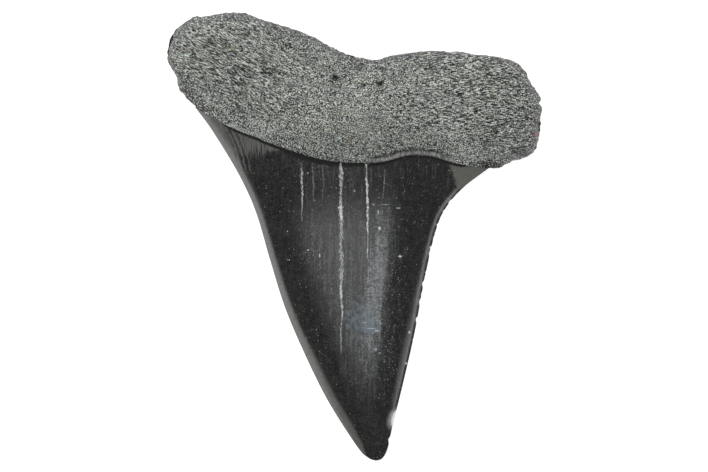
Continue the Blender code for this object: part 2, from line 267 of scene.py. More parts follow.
BONE_SPOTS = [
    (20.35, 11.4, 0.36, 0.34, "red"), (0.7, 17.9, 0.4, 0.3, "pink"),
    (-0.5, 10.75, 0.3, 0.4, "tan"), (-13.4, 21.0, 0.5, 0.3, "yellow"),
    (10.8, 16.1, 0.2, 0.15, "yellow"), (3.1, 11.4, 0.2, 0.2, "yellow"),
    (-18.6, 20.9, 0.4, 0.25, "pink"),
]
GLINT_SPOT = (4.55, -20.35, 0.42, 1.1)
GLINT_GLOW = (4.45, -20.4, 1.1, 1.75)
GLINT_LEAN = 0.226

# Age cracks in the enamel, from the root down: x and y of both ends, half width, paleness

CRACKS = [
    (-1.42, 9.0, -1.36, -13.4, 0.19, 1.0),
    (1.5, 9.0, 1.62, -2.5, 0.12, 1.0),
    (-5.85, 8.3, -5.7, 1.4, 0.085, 0.62),
    (-4.55, 8.1, -4.5, 3.6, 0.12, 0.16),
    (-3.4, 7.9, -3.4, 4.2, 0.12, 0.14),
    (3.45, 7.6, 3.2, 4.0, 0.1, 0.24),
]
CRACK_DEPTH = 0.05
CRACK_WANDER = 0.14
CRACK_WANDER_LENGTH = 1.6
CRACK_SWELLING = 1.1

# How pale the main crack is along y

MAIN_CRACK_TONE = (
    (-13.5, -9.8, -9.0, -7.5, -7.0, -6.0, -5.0, 1.0, 2.2, 3.2, 3.8, 6.5, 9.0),
    (0.3, 0.45, 0.8, 0.75, 1.0, 1.0, 0.55, 0.5, 1.0, 1.0, 0.6, 0.6, 0.85),
)

# Small breaks in the right cutting edge: from y, to y, depth; and one chip by the tip

EDGE_NICKS = (-13.0, 6.0, 0.16)
NICK_LENGTH = 0.45
TIP_CHIP = {"height": 0.16, "x": 3.9, "y": -22.9, "wide": 0.5, "long": 0.25}

# Mesh: how near one set of points may come to another, and where the close lines run

SPAN_SAMPLES = 24
LINE_STEP = 0.25
SHELL_STEP = 0.2
SMALLEST_OFFSET = 0.012
RING_DEPTH = 1.9
LEDGE_ROWS = (-1.0, -0.65, -0.4, -0.22, -0.1, 0, 0.05, 0.12, 0.2, 0.3, 0.42, 0.56, 0.72, 0.9)
CRACK_ROWS = (-0.45, -0.28, -0.15, -0.06, 0, 0.06, 0.15, 0.28, 0.45)
ROW_RIM_GAP = 0.2
GAP = 0.6
EDGE_GAP = 0.06
EDGE_RINGS = (0.05, 0.12, 0.2, 0.3, 0.42, 0.56, 0.72)
TOUCHING = 1e-6
LABIAL_ROOT_STEPS = 1.35
LABIAL_CROWN_STEPS = 1.15

# Noise in the materials: its turns in a millimetre, in each direction where they differ, its
# detail and its roughness

ENAMEL_NOISE = {
    "broad": (0.45, 3, 0.6),
    "cloudy": (1.7, 3, 0.65),
    "fine": (6.5, 2, 0.7),
    "lengthwise": ((4.5, 0.3, 1), 3, 0.65),
    "hair": ((8, 0.45, 1), 2, 0.6),
    "mottle": ((6.0, 8.0, 1), 3, 0.65),
    "crumbs": ((7, 3.2, 1), 2, 0.6),
}
GRAIN_NOISE = {
    "fibres": ((2.2, 15, 15), 1, 0.5),
    "dots": (9.8, 1, 0.5),
    "clumps": ((0.9, 2.6, 2.6), 3, 0.55),
}
BONE_NOISE = {"hue": (2.4, 2, 0.6), "striae": ((7.0, 0.8, 0.8), 2, 0.6)}
GRAIN_CONTRAST = 31.0
LIGHTEST_GRAIN = 8.0

# How noise breaks up the enamel's masks: its gain, and the limits that the sum climbs between

WISPS = (2.0, 0.1, 1.3)
COMBED = (2.4, 0.25, 1.0)
THINNED = (1.6, 0.1, 0.95)
BANDED = (0.25, 1.25, 0.7)
BAND_TINT = (1.0, 0.25, 0.75)
SHADED = (2.0, 0.25, 0.7)
DUSTED = (2.5, 0.0, 1.2, 0.02, 0.3)
CRUMBLED = (9.0, 0.35, 0.9)

# Shares of the enamel's layers, and the roughness of its smoothest and its dullest places

SHEEN_SHARE = 0.31
SHEEN_STREAK_SHARE = 0.6
LINE_SHARES = (0.06, 0.3)
GLOSS = (0.10, 0.24)

# Stage, in metres: the overhead panel's span in x and y, its height, and where its dim edges end;
# the places and widths of the lights, and how many times the fill light's watts the key light has;
# the nearest thing that the camera sees, and the height at which its view is measured. The
# sensor's width is in millimetres.

PANEL_X = (-0.9, 0.4)
PANEL_Y = (-0.6, 0.85)
PANEL_Z = 1.0
PANEL_FADE = (-0.2, 0.1)
KEY_PLACE = (-0.75, 0.55, 0.8)
KEY_SIZE = 0.5
KEY_TO_FILL = 2
FILL_PLACE = (0.8, -0.5, 0.7)
FILL_SIZE = 0.8
NEAREST_SEEN = 0.01
VIEW_PLANE = 2 * MM
SENSOR_WIDTH = 36

# The floor, and how bright the room is as the tooth sees it and as the camera does

FLOOR_CORNERS = 64
FLOOR_ROUGHNESS = 0.9
ROOM_LIGHT = 0.14
ROOM_BRIGHTNESS = 0.95
WHITE = (1, 1, 1, 1)


def smooth_line(points, step):
    """A Catmull-Rom line through the points, cut into even lengths of about step."""
    p = np.array(points, float)
    p = np.vstack([2 * p[0] - p[1], p, 2 * p[-1] - p[-2]])
    t = np.linspace(0, 1, SPAN_SAMPLES, endpoint=False)[:, None]
    spans = []
    for a, b, c, d in zip(p[:-3], p[1:-2], p[2:-1], p[3:]):
        slope = c - a
        bend = 2 * a - 5 * b + 4 * c - d
        turn = 3 * b - 3 * c + d - a
        spans.append(b + 0.5 * t * (slope + t * (bend + t * turn)))
    line = np.vstack([*spans, p[-2:-1]])
    length = np.concatenate([[0], np.cumsum(np.linalg.norm(np.diff(line, axis=0), axis=1))])
    count = max(2, round(length[-1] / step) + 1)
    even = np.linspace(0, length[-1], count)
    return np.column_stack([np.interp(even, length, line[:, k]) for k in (0, 1)])


def distance_to(line, xy):
    """How far each point of xy is from the line."""
    nearest = np.full(len(xy), np.inf)
    for a, b in zip(line[:-1], line[1:]):
        along = b - a
        t = np.clip((xy - a) @ along / (along @ along), 0, 1)
        nearest = np.minimum(nearest, np.linalg.norm(xy - a - t[:, None] * along, axis=1))
    return nearest


def ease(value, start, end):
    """0 before start, 1 after end, and a smooth climb between them."""
    t = np.clip((value - start) / (end - start), 0, 1)
    return t * t * (3 - 2 * t)


def span(value, start, full, fading, end):
    """A climb from 0 at start to 1 at full, and a fall from 1 at fading to 0 at end."""
    return ease(value, start, full) * (1 - ease(value, fading, end))


def mound(xy, height, x, y, wide, long):
    """A rounded rise of that height, or a hollow if it is negative."""
    return height * np.exp(-(((xy[:, 0] - x) / wide) ** 2) - ((xy[:, 1] - y) / long) ** 2)


def lumps(xy, size, layer):
    """Smooth noise from -1 to 1 with features of that size."""
    return np.array([noise.noise(Vector((x / size, y / size, layer))) for x, y in xy])


SIDES = [
    smooth_line(RIGHT_EDGE, LINE_STEP),
    smooth_line(ROOT_OUTLINE, LINE_STEP),
    smooth_line(LEFT_EDGE, LINE_STEP),
]
LINGUAL = smooth_line(LINGUAL_LINE, LINE_STEP)
LABIAL = smooth_line(LABIAL_LINE, LINE_STEP)
FOLD = smooth_line(FOLD_LINE, LINE_STEP)
SCRATCH = smooth_line(SCRATCH_LINE, LINE_STEP)


def depth_inside(xy):
    """Distance from the outline, rounded off where the left and right edges are equally near."""
    near = sum(np.maximum(distance_to(side, xy), 1e-6) ** -EDGE_BLEND for side in SIDES)
    return near ** (-1 / EDGE_BLEND)


def above_line(line, xy):
    """Distance from an enamel line, positive on the root's side of it."""
    side = np.sign(xy[:, 1] - np.interp(xy[:, 0], line[:, 0], line[:, 1]))
    return side * distance_to(line, xy)


def rim_height(xy):
    """Height of the outline's edge, which climbs from the crown to the root."""
    return CROWN_RIM + (ROOT_RIM - CROWN_RIM) * ease(xy[:, 1], *RIM_CLIMB)


def canal_mouths(xy):
    """Depth of the feeding canals' mouths, the small round pits below the notch."""
    depth = np.zeros(len(xy))
    for x, y, radius in CANALS:
        depth += CANAL_DEPTH * np.exp(-(((xy[:, 0] - x) ** 2 + (xy[:, 1] - y) ** 2) / radius**2))
    return depth


def crack_middle(crack, y):
    """Where a crack runs at each y, with its slight wander."""
    x0, y0, x1, y1 = crack[:4]
    straight = x0 + (x1 - x0) * (y - y0) / (y1 - y0)
    wander = [noise.noise(Vector((x0, value / CRACK_WANDER_LENGTH, 5.5))) for value in y]
    return straight + CRACK_WANDER * np.array(wander)


def crack_nearness(xy):
    """1 along a crack's middle, 0 at its half width and below 0 outside it; and its paleness."""
    best = np.full(len(xy), -1.0)
    pale = np.zeros(len(xy))
    for number, crack in enumerate(CRACKS):
        _, y0, _, y1, half, paleness = crack
        close = np.flatnonzero(np.abs(xy[:, 0] - crack[0]) < 1.2)
        near = xy[close]
        away = np.abs(near[:, 0] - crack_middle(crack, near[:, 1]))
        down = (y0 - near[:, 1]) / (y0 - y1)
        swell = [noise.noise(Vector((crack[0], y / CRACK_SWELLING, 9.5))) for y in near[:, 1]]
        width = half * (1 - 0.6 * ease(down, 0.4, 1)) * (1 + 0.6 * np.array(swell))
        value = 1 - away / width - 4 * ease(down, 0.96, 1.06) - 4 * ease(-down, -0.02, 0.05)
        value = np.clip(value, -1, 1)
        tone = 1 - 0.25 * ease(down, 0.6, 1)
        if number == 0:
            tone = np.interp(near[:, 1], *MAIN_CRACK_TONE)
        pale[close] = np.where(value > best[close], paleness * tone, pale[close])
        best[close] = np.maximum(best[close], value)
    return best, pale


def along_crown(pairs, y):
    """A length that changes smoothly along the crown."""
    line = smooth_line(pairs, LINE_STEP)
    return np.interp(y, line[:, 0], line[:, 1])


def crown_height(xy, depth):
    """The bevels at the cutting edges and the dome between them, which is steeper on the right."""
    y = xy[:, 1]
    to_right = distance_to(SIDES[0], xy)
    to_left = distance_to(SIDES[2], xy)
    left = ease(to_right / (to_left + to_right), 0, 1)
    lip = RIGHT_LIP * (1 - left)
    depth = np.hypot(depth, lip) - lip

    def between(on_left, on_right):
        return on_right + (on_left - on_right) * left

    bevel = between(BEVEL_HEIGHT["left"], BEVEL_HEIGHT["right"]) * ease(y, *BEVEL_FADE)
    width = between(along_crown(BEVEL_WIDTH_LEFT, y), along_crown(BEVEL_WIDTH_RIGHT, y))
    bevel *= 1 - np.exp(-depth / width)
    width = between(along_crown(DOME_WIDTH_LEFT, y), along_crown(DOME_WIDTH_RIGHT, y))
    dome_depth = np.hypot(depth, DOME_START) - DOME_START
    dome = along_crown(DOME_HEIGHT, y) * (1 - np.exp(-dome_depth / width))
    return rim_height(xy) + bevel + dome


def lingual_height(xy, depth, above):
    """The upper face: a domed crown, and a thicker root that ends over it in a rounded ledge."""
    rim = rim_height(xy)
    crown = crown_height(xy, depth)
    root = rim + ROOT_DOME * (1 - np.exp(-depth / ROOT_BEVEL)) ** ROOT_ROUNDNESS
    root += (mound(xy, **BOSS) + mound(xy, **NOTCH_HOLLOW)) * ease(depth, 0, 4)
    root += LUMP_HEIGHT * lumps(xy, LUMP_SIZE, 0.5) * ease(depth, 0, 1)
    root -= canal_mouths(xy)
    rootness = ease(above, 0, LEDGE_REACH)
    nose = np.sqrt(1 - (1 - np.clip(above / LEDGE_RADIUS, 0, 1)) ** 2)
    ledge = LEDGE_HEIGHT * nose * (1 - rootness) * ease(depth, 0.3, 4)
    return crown + (root - crown) * rootness + ledge


def labial_height(xy, depth, above):
    """The lower face: nearly flat, arched between the root and the tip, and flat where it rests."""
    rim = rim_height(xy)
    along = np.clip((xy[:, 1] - ARCH_MIDDLE) / ARCH_HALF_LENGTH, -1, 1)
    arch = ARCH_HEIGHT * (1 - along**2) ** 2
    face = arch + mound(xy, **ROOT_CHANNEL) - PRESSED_FLAT
    face += LABIAL_STEP * ease(above, -0.05, 0.3) * (1 - ease(above, 2, 6))
    face += LUMP_HEIGHT * lumps(xy, LUMP_SIZE, 7.5) * ease(above, 0, 1.5)
    rootness = ease(above, -2, 3)
    crown_drop = 1 - np.exp(-depth / CROWN_UNDER_BEVEL)
    root_drop = (1 - np.exp(-depth / ROOT_UNDER_BEVEL)) ** ROOT_ROUNDNESS
    drop = crown_drop + (root_drop - crown_drop) * rootness
    return np.maximum(rim - (rim - face) * drop, 0)


def inward(line, closed=False):
    """Unit vectors to the left of the line's direction, which point into the outline."""
    if closed:
        ends = np.roll(line, -1, axis=0) - np.roll(line, 1, axis=0)
    else:
        ends = np.gradient(line, axis=0)
    ends /= np.linalg.norm(ends, axis=1)[:, None]
    return np.column_stack([-ends[:, 1], ends[:, 0]])


def outline(root_step, crown_step):
    """The closed outline, anticlockwise from the tip, with its broken root and its nicked edge."""
    right = smooth_line(RIGHT_EDGE, crown_step)
    root = smooth_line(ROOT_OUTLINE, root_step)
    left = smooth_line(LEFT_EDGE, crown_step)
    rough = np.zeros(len(root))
    rough[1:-1] = RIM_LUMP_HEIGHT * lumps(root[1:-1], RIM_LUMP_SIZE, 3.5)
    rough[1:-1] += RIM_CRUMB_HEIGHT * lumps(root[1:-1], RIM_CRUMB_SIZE, 4.5)
    root = root + inward(root) * rough[:, None]
    low, high, bite = EDGE_NICKS
    along = ease(right[:, 1], low, low + 4) * (1 - ease(right[:, 1], high - 4, high))
    nicks = bite * along * np.clip(lumps(right, NICK_LENGTH, 8.5) * 2 - 0.3, 0, 1)
    nicks += mound(right, **TIP_CHIP)
    right = right + inward(right) * nicks[:, None]
    return np.vstack([right[:-1], root[:-1], left[:-1]])


def spaced(candidates, fixed, gap):
    """The candidates that are at least gap away from every fixed point."""
    tree = KDTree(len(fixed))
    for index, (x, y) in enumerate(fixed):
        tree.insert((x, y, 0), index)
    tree.balance()
    far = [tree.find((x, y, 0))[2] >= gap for x, y in candidates]
    return candidates[np.array(far, bool)]


def inside(candidates, offset, rim):
    """The candidates that lie inside the outline by at least offset."""
    loop = np.vstack([rim, rim[:1]])
    x, y = candidates.T
    crossings = np.zeros(len(candidates), int)
    for (ax, ay), (bx, by) in zip(loop[:-1], loop[1:]):
        if ay != by:
            spans = (ay > y) != (by > y)
            crossings += spans & (x < ax + (y - ay) * (bx - ax) / (by - ay))
    return candidates[(crossings % 2 == 1) & (distance_to(loop, candidates) >= offset)]


def ring_offsets(step):
    """Offsets from the rim that are step apart as measured up the steep side of the root."""
    depth = np.linspace(0, RING_DEPTH, 2000)
    climb = ROOT_DOME * (1 - np.exp(-depth / ROOT_BEVEL)) ** ROOT_ROUNDNESS
    length = np.concatenate([[0], np.cumsum(np.hypot(np.diff(depth), np.diff(climb)))])
    even = np.arange(step, length[-1], step)
    offsets = np.interp(even, length, depth)
    return offsets[offsets > SMALLEST_OFFSET]


def rings(rim, step):
    """Points on lines that run round the tooth inside its rim, staggered from ring to ring."""
    found = []
    towards = inward(rim, closed=True)
    for number, offset in enumerate(ring_offsets(step)):
        line = rim + towards * offset
        if number % 2 == 0:
            line = (line + np.roll(line, -1, axis=0)) / 2
        found.append(inside(line, 0.9 * offset, rim))
    return np.vstack(found)


def grid(rim, step):
    """An even triangular grid over the tooth's whole plan."""
    low = rim.min(axis=0)
    high = rim.max(axis=0)
    found = []
    for number, y in enumerate(np.arange(low[1], high[1], step * 3**0.5 / 2)):
        x = np.arange(low[0] + step / 2 * (number % 2), high[0], step)
        found.append(np.column_stack([x, np.full(len(x), y)]))
    return np.vstack(found)


def ledge_rows(line, rim, step):
    """Lines of points beside an enamel line, close together where the ledge climbs."""
    fine = smooth_line(line, step)
    across = inward(fine)
    return [inside(fine + across * offset, ROW_RIM_GAP, rim) for offset in LEDGE_ROWS]


def crack_rows(rim, step):
    """Points beside each crack, close together across it."""
    found = []
    for crack in CRACKS:
        y = np.arange(crack[3] - step, crack[1] - 0.8, step)
        middle = crack_middle(crack, y)
        found += [np.column_stack([middle + offset, y]) for offset in CRACK_ROWS]
    return inside(np.vstack(found), ROW_RIM_GAP, rim)


def skin_plan(rim, line, extra, root_step, crown_step):
    """Points inside the rim and the triangles over rim and points, in plan, for one face."""
    points = np.empty((0, 2))
    edges = [(k, (k + 1) % len(rim)) for k in range(len(rim))]
    for row in ledge_rows(line, rim, 1.2 * root_step):
        first = len(rim) + len(points)
        edges += [(k, k + 1) for k in range(first, first + len(row) - 1)]
        points = np.vstack([points, row])
    if len(extra):
        points = np.vstack([points, spaced(extra, points, GAP * root_step)])
    smooth = smooth_line(line, LINE_STEP)
    ring = rings(rim, SHELL_STEP)
    on_root = above_line(smooth, ring) > 0
    points = np.vstack([points, spaced(ring[on_root], points, GAP * root_step)])
    wider = np.arange(EDGE_RINGS[-1] + crown_step, RING_DEPTH, 0.8 * crown_step)
    for offset in (*EDGE_RINGS, *wider):
        band = rim + inward(rim, closed=True) * offset
        band = inside(band, 0.9 * offset, rim)
        band = band[above_line(smooth, band) <= 0]
        points = np.vstack([points, spaced(band, points, min(GAP * crown_step, EDGE_GAP + offset / 3))])
    for step, sign in ((root_step, 1), (crown_step, -1)):
        fill = inside(grid(rim, step), RING_DEPTH - step / 2, rim)
        fill = fill[sign * above_line(smooth, fill) > 0]
        points = np.vstack([points, spaced(fill, points, GAP * step)])
    corners = [Vector(p) for p in np.vstack([rim, points])]
    placed, _, faces, origins, _, _ = delaunay_2d_cdt(corners, edges, [], 1, TOUCHING)
    if len(placed) != len(corners):
        raise RuntimeError("two points of the plan fell together")
    source = [group[0] for group in origins]
    return points, np.array([[source[corner] for corner in face] for face in faces])


def flow_place(xy, height):
    """Each point's place along and across the bone's fibres, which dip rightwards on the left lobe."""
    across = np.linspace(TIP[0] - 30, TIP[0] + 30, 240)
    slope = FIBRE_SLOPE * ease(-across, 2, 9)
    dip = np.cumsum(slope) * (across[1] - across[0])
    x, y = xy.T
    return np.column_stack([x, y + np.interp(x, across, dip), WALL_GRAIN * height])


def shape_arrays(root_step, crown_step):
    """Plan, height and face arrays of the whole tooth, and what each point knows about its place."""
    rim = outline(root_step, crown_step)
    top, top_faces = skin_plan(rim, LINGUAL_LINE, crack_rows(rim, crown_step), root_step, crown_step)
    steps = (LABIAL_ROOT_STEPS * root_step, LABIAL_CROWN_STEPS * crown_step)
    under, under_faces = skin_plan(rim, LABIAL_LINE, np.empty((0, 2)), *steps)
    under_faces = np.where(under_faces < len(rim), under_faces, under_faces + len(top))[:, ::-1]
    plan = np.vstack([rim, top, under])
    upper = np.concatenate([np.full(len(rim), 0.5), np.ones(len(top)), np.zeros(len(under))])
    above = np.concatenate([
        above_line(LINGUAL, rim), above_line(LINGUAL, top), above_line(LABIAL, under),
    ])
    depth = depth_inside(plan)
    depth[: len(rim)] = 0
    first_under = len(rim) + len(top)
    height = rim_height(plan)
    over = slice(len(rim), first_under)
    below = slice(first_under, None)
    height[over] = lingual_height(top, depth[over], above[over])
    height[below] = labial_height(under, depth[below], above[below])
    crack = np.full(len(plan), -1.0)
    pale = np.zeros(len(plan))
    crack[over], pale[over] = crack_nearness(top)
    crack[above > -0.05] = -1
    height[over] -= CRACK_DEPTH * np.clip(crack[over], 0, 1) * pale[over]
    faces = np.vstack([top_faces, under_faces])
    return {"plan": plan, "height": height, "faces": faces, "upper": upper,
            "above": above, "depth": depth, "crack": crack, "pale": pale}


def signed_across(line, xy):
    """Distance from a line that runs down the tooth, positive on its right."""
    side = np.sign(xy[:, 0] - np.interp(-xy[:, 1], -line[:, 1], line[:, 0]))
    return side * distance_to(line, xy)


def painted_pit_shade(xy):
    """Painted shade in the feeding canals' ragged mouths: how dark each point is."""
    dark = np.zeros(len(xy))
    for (x, y, radius), (darkness, lean, swell) in zip(CANALS, MOUTHS):
        near = np.flatnonzero(np.hypot(xy[:, 0] - x, xy[:, 1] - y) < 4 * radius)
        warp = [lumps(xy[near], MOUTH_GRAIN, layer) for layer in (1.5, 6.5)]
        warped = xy[near] + MOUTH_WARP * np.column_stack(warp)
        away = np.hypot((warped[:, 0] - x) / lean, (warped[:, 1] - y) * lean) / (swell * radius)
        dark[near] = np.maximum(dark[near], darkness * (1 - ease(away, 0.6, 1.0)))
    return dark


def mounds(xy, patches):
    """The sum of soft patches that are given as strength, x, y and both half widths."""
    return sum(amount * mound(xy, 1, *place) for amount, *place in patches)


def middle_masks(xy, above, on_right):
    """Masks of the crown's middle: painted reflection as a sheen and a streak, bluish cloud, dust, fine
    lines.
    """
    x, y = xy.T
    border = np.interp(y, *SHEEN_RIGHT)
    painted_sheen = ease(border - x, *SHEEN_BORDER) * ease(x - np.interp(y, *SHEEN_LEFT), *SHEEN_INNER)
    spill = on_right * ease(border - x, *SPILL_BORDER) * ease(x, *SPILL_START)
    painted_sheen = np.maximum(painted_sheen, SHEEN_SPILL * spill)
    painted_sheen *= ease(y, *SHEEN_TIP) * (1 - SHEEN_LOSS * ease(y, *SHEEN_ROOT))
    dusty = span(x - border, *DUST_ACROSS) * span(-y, *DUST_DOWN) + mounds(xy, DUST_PATCHES)
    return {
        "painted_sheen": painted_sheen,
        "sheen_streak": span(border - x, *SHEEN_STREAK_ACROSS) * np.interp(y, *SHEEN_STREAK_ALONG),
        "cloud": mounds(xy, CLOUDS),
        "dusty": np.clip(dusty, 0, 1),
        "near_root": 1 - ease(-above, *LINES_BELOW),
    }


def line_masks(xy, above, depth):
    """Masks by the enamel line: lip, ridge, painted shadow line over it; shade, striae, thin enamel under
    it.
    """
    x = xy[:, 0]
    ridged = span(x, *RIDGE_ALONG)
    comb_length = np.maximum(np.interp(x, *COMB_LENGTH), SHORTEST_COMB)
    comb = 1 - ease(-above / comb_length, *COMB_FADE)
    shade = ease(above / np.interp(x, *SHADE_WIDTH), *SHADE_BELOW) * (1 - ease(above, 0.0, 0.1))
    return {
        "ridge": span(above, *RIDGE_ACROSS) * ridged,
        "lip": span(above, *LIP_ACROSS) * (span(x, *LEFT_LIP_ALONG) + ridged),
        "shadow_line": span(above, *SHADOW_LINE_ACROSS) * ridged,
        "comb": comb * ease(comb_length, 0.05, 0.5) * (above < 0),
        "shade": shade * ease(depth, *SHADE_INWARD),
        "thin": ease(x + THIN_SLANT * above, *THIN_START) * (1 - ease(-above, *THIN_BELOW)),
    }


def finish_values(made):
    """What each point's finish depends on, from 0 to 1 unless a name says otherwise."""
    xy, above, depth = made["plan"], made["above"], made["depth"]
    x, y = xy.T
    on_top = ease(made["upper"], 0.4, 0.9)
    on_right = x > np.interp(y, (TIP[1], RIGHT_SHOULDER[1]), (TIP[0], 0))
    width = np.where(on_right, np.interp(y, *RIGHT_BAND), np.interp(y, *LEFT_BAND))
    across_fold = signed_across(FOLD, xy)
    masks = {**middle_masks(xy, above, on_right), **line_masks(xy, above, depth)}
    masks["rim_strip"] = on_right * (1 - ease(depth, *RIM_STRIP))
    masks["folded"] = span(across_fold, *FOLD_ACROSS) * span(y, *FOLD_ALONG) * (above < 0)
    masks["pit_shade"] = painted_pit_shade(xy)
    tone = 1.1 * lumps(xy, 0.8, 11.5) + 0.9 * lumps(xy, 2.4, 2.5)
    scratched = 1 - ease(distance_to(SCRATCH, xy), 0.05, 0.22)
    # Darker towards the root's steep rim: painted shade
    tone -= SCRATCH_TONE * scratched + RIM_PAINTED_SHADE * (1 - ease(depth, 0.0, 1.4))
    off_ridge = 1 - 0.8 * masks["ridge"]
    return {
        **{name: mask * on_top for name, mask in masks.items()},
        "bone": ease(above, 0, 0.25) * off_ridge * (0.3 + 0.7 * ease(depth, 0.05, 0.5)),
        "band": depth / np.maximum(width, THINNEST_BAND),
        "fold": across_fold,
        "crack": made["crack"],
        "pale": made["pale"],
        "tone": tone + mounds(xy, BONE_TONES),
        "streaky": 0.22 + 0.36 * ease(np.abs(x + 1), 3, 10) * ease(above, 1.0, 4),
    }


def store(mesh, name, values):
    """Keep one number for each point of the mesh under that name."""
    attribute = mesh.attributes.new(name, "FLOAT", "POINT")
    attribute.data.foreach_set("value", np.asarray(values, np.float32))


def tooth_mesh(sizes):
    """The fine mesh of the whole tooth, in metres, with its attributes."""
    made = shape_arrays(sizes.root_step / MM, sizes.crown_step / MM)
    plan, height = made["plan"], made["height"]
    middle = (plan.min(axis=0) + plan.max(axis=0)) / 2
    centre = [(low + high) / 2 for low, high in zip(TOOTH_LOW[:2], TOOTH_HIGH[:2])]
    where = np.column_stack([(plan - middle) * MM + centre, height * MM + TOOTH_LOW.z])
    mesh = bpy.data.meshes.new("shark_tooth")
    mesh.from_pydata(where.tolist(), [], made["faces"].tolist())
    mesh.validate()
    mesh.shade_smooth()
    for name, values in finish_values(made).items():
        store(mesh, name, values)
    on_root = mesh.attributes.new("on_root", "BOOLEAN", "FACE")
    on_root.data.foreach_set("value", made["above"][made["faces"]].mean(axis=1) > 0)
    place = mesh.attributes.new("flow", "FLOAT_VECTOR", "POINT")
    place.data.foreach_set("vector", flow_place(plan, height).astype(np.float32).ravel())
    return mesh


class Nodes:
    """Short calls that add nodes to one tree and give the sockets that hold their results."""

    def __init__(self, tree):
        self.tree = tree

    def add(self, kind, inputs=None, **settings):
        """A node of that kind with its settings, its inputs joined to sockets or set to values."""
        node = self.tree.nodes.new(kind)
        for name, value in settings.items():
            setattr(node, name, value)
        for key, value in (inputs or {}).items():
            if isinstance(value, bpy.types.NodeSocket):
                self.tree.links.new(value, node.inputs[key])
            else:
                node.inputs[key].default_value = value
        return node

    def calc(self, operation, *values):
        """A Math node's result."""
        return self.add("ShaderNodeMath", dict(enumerate(values)), operation=operation).outputs[0]

    def plus(self, first, *others):
        """The sum of all the values."""
        for other in others:
            first = self.calc("ADD", first, other)
        return first

    def times(self, first, *others):
        """The product of all the values."""
        for other in others:
            first = self.calc("MULTIPLY", first, other)
        return first

    def greatest(self, first, *others):
        """The greatest of all the values."""
        for other in others:
            first = self.calc("MAXIMUM", first, other)
        return first

    def vector(self, operation, a, b):
        """A Vector Math node's result for two vectors."""
        return self.add("ShaderNodeVectorMath", {0: a, 1: b}, operation=operation).outputs[0]

    def scaled(self, vector, factor):
        """The vector or colour with all its parts multiplied by one factor."""
        sockets = {0: vector, "Scale": factor}
        return self.add("ShaderNodeVectorMath", sockets, operation="SCALE").outputs[0]

    def parts(self, vector):
        """The vector's x, y and z."""
        return self.add("ShaderNodeSeparateXYZ", {0: vector}).outputs

    def step(self, value, low, high, start=0.0, end=1.0):
        """A smooth climb from start to end as the value goes from low to high."""
        sockets = {"Value": value, "From Min": low, "From Max": high, "To Min": start, "To Max": end}
        return self.add("ShaderNodeMapRange", sockets, interpolation_type="SMOOTHSTEP").outputs[0]

    def centred(self, noise_value, gain):
        """A noise value moved from round 0.5 to round 0, and multiplied."""
        return self.times(self.calc("SUBTRACT", noise_value, 0.5), gain)

    def ragged(self, mask, noise_value, gain, *limits):
        """A mask that noise has made uneven, as a climb between the limits."""
        return self.step(self.plus(mask, self.centred(noise_value, gain)), *limits)

    def mix(self, factor, a, b):
        """A number between a and b."""
        return self.add("ShaderNodeMix", {0: factor, 2: a, 3: b}).outputs[0]

    def blend(self, factor, a, b):
        """A colour between a and b."""
        sockets = {0: factor, 6: opaque(a), 7: opaque(b)}
        return self.add("ShaderNodeMix", sockets, data_type="RGBA").outputs[2]

    def noise(self, vector, scale, detail, roughness):
        """Noise from 0 to 1. Its scale is one number, or one for each part of the vector."""
        if isinstance(scale, tuple):
            vector = self.vector("MULTIPLY", vector, scale)
            scale = 1.0
        sockets = {"Vector": vector, "Scale": scale, "Detail": detail, "Roughness": roughness}
        return self.add("ShaderNodeTexNoise", sockets).outputs[0]

    def noises(self, vector, kinds):
        """One noise for each entry of a table of scales, details and roughnesses."""
        return [self.noise(vector, *kind) for kind in kinds.values()]

    def values(self, *names):
        """The numbers that the mesh holds under those names for each of its points."""
        return [self.add("ShaderNodeAttribute", attribute_name=name).outputs["Fac"] for name in names]

    def object_place(self):
        """Object coordinates in metres."""
        return self.add("ShaderNodeTexCoord").outputs["Object"]

    def millimetres(self):
        """Object coordinates in millimetres."""
        return self.vector("MULTIPLY", self.object_place(), (1 / MM, 1 / MM, 1 / MM))

    def surface(self, base, roughness, ior, relief, strength, distance):
        """The material's shader, with the relief as a bump, joined to the material's output."""
        bump = self.add("ShaderNodeBump", {"Height": relief, "Strength": strength, "Distance": distance})
        shader = self.add("ShaderNodeBsdfPrincipled", {
            "Base Color": base, "Roughness": roughness, "Normal": bump.outputs[0], "IOR": ior,
        })
        self.add("ShaderNodeOutputMaterial", {"Surface": shader.outputs[0]})


def opaque(color):
    """A colour socket as it is, or three numbers with an alpha of one."""
    return color if isinstance(color, bpy.types.NodeSocket) else (*color, 1)


def empty_material(name):
    """A new material with nothing in its tree, and the tree's nodes."""
    material = bpy.data.materials.new(name)
    material.use_nodes = True
    material.node_tree.nodes.clear()
    return material, Nodes(material.node_tree)


def specks(nodes, vector, size, share):
    """Scattered small spots of uneven paleness: up to 1 on a spot, 0 elsewhere."""
    cells = nodes.add("ShaderNodeTexVoronoi", {"Vector": vector, "Scale": 1 / size})
    luck = nodes.add("ShaderNodeSeparateColor", {0: cells.outputs["Color"]}).outputs
    picked = nodes.step(nodes.plus(luck[0], share), 1.0, 1.01)
    round_spot = nodes.step(cells.outputs["Distance"], 0.42, 0.2)
    return nodes.times(picked, round_spot, nodes.step(luck[1], 0.1, 1.3, 0.15, 1.0))


def spot(nodes, vector, x, y, wide, long, soft=0.4, lean=0.0):
    """1 inside an oval round x and y, falling to 0 at its edge. A lean shifts it in x along its y."""
    off = nodes.parts(nodes.vector("SUBTRACT", vector, (x, y, 0)))
    leaning = nodes.calc("SUBTRACT", off[0], nodes.times(off[1], lean))
    squares = []
    for distance, reach in ((leaning, wide), (off[1], long)):
        share = nodes.calc("ABSOLUTE", nodes.calc("DIVIDE", distance, reach))
        squares.append(nodes.calc("POWER", share, 2.0))
    return nodes.step(nodes.plus(*squares), 1.0, soft)


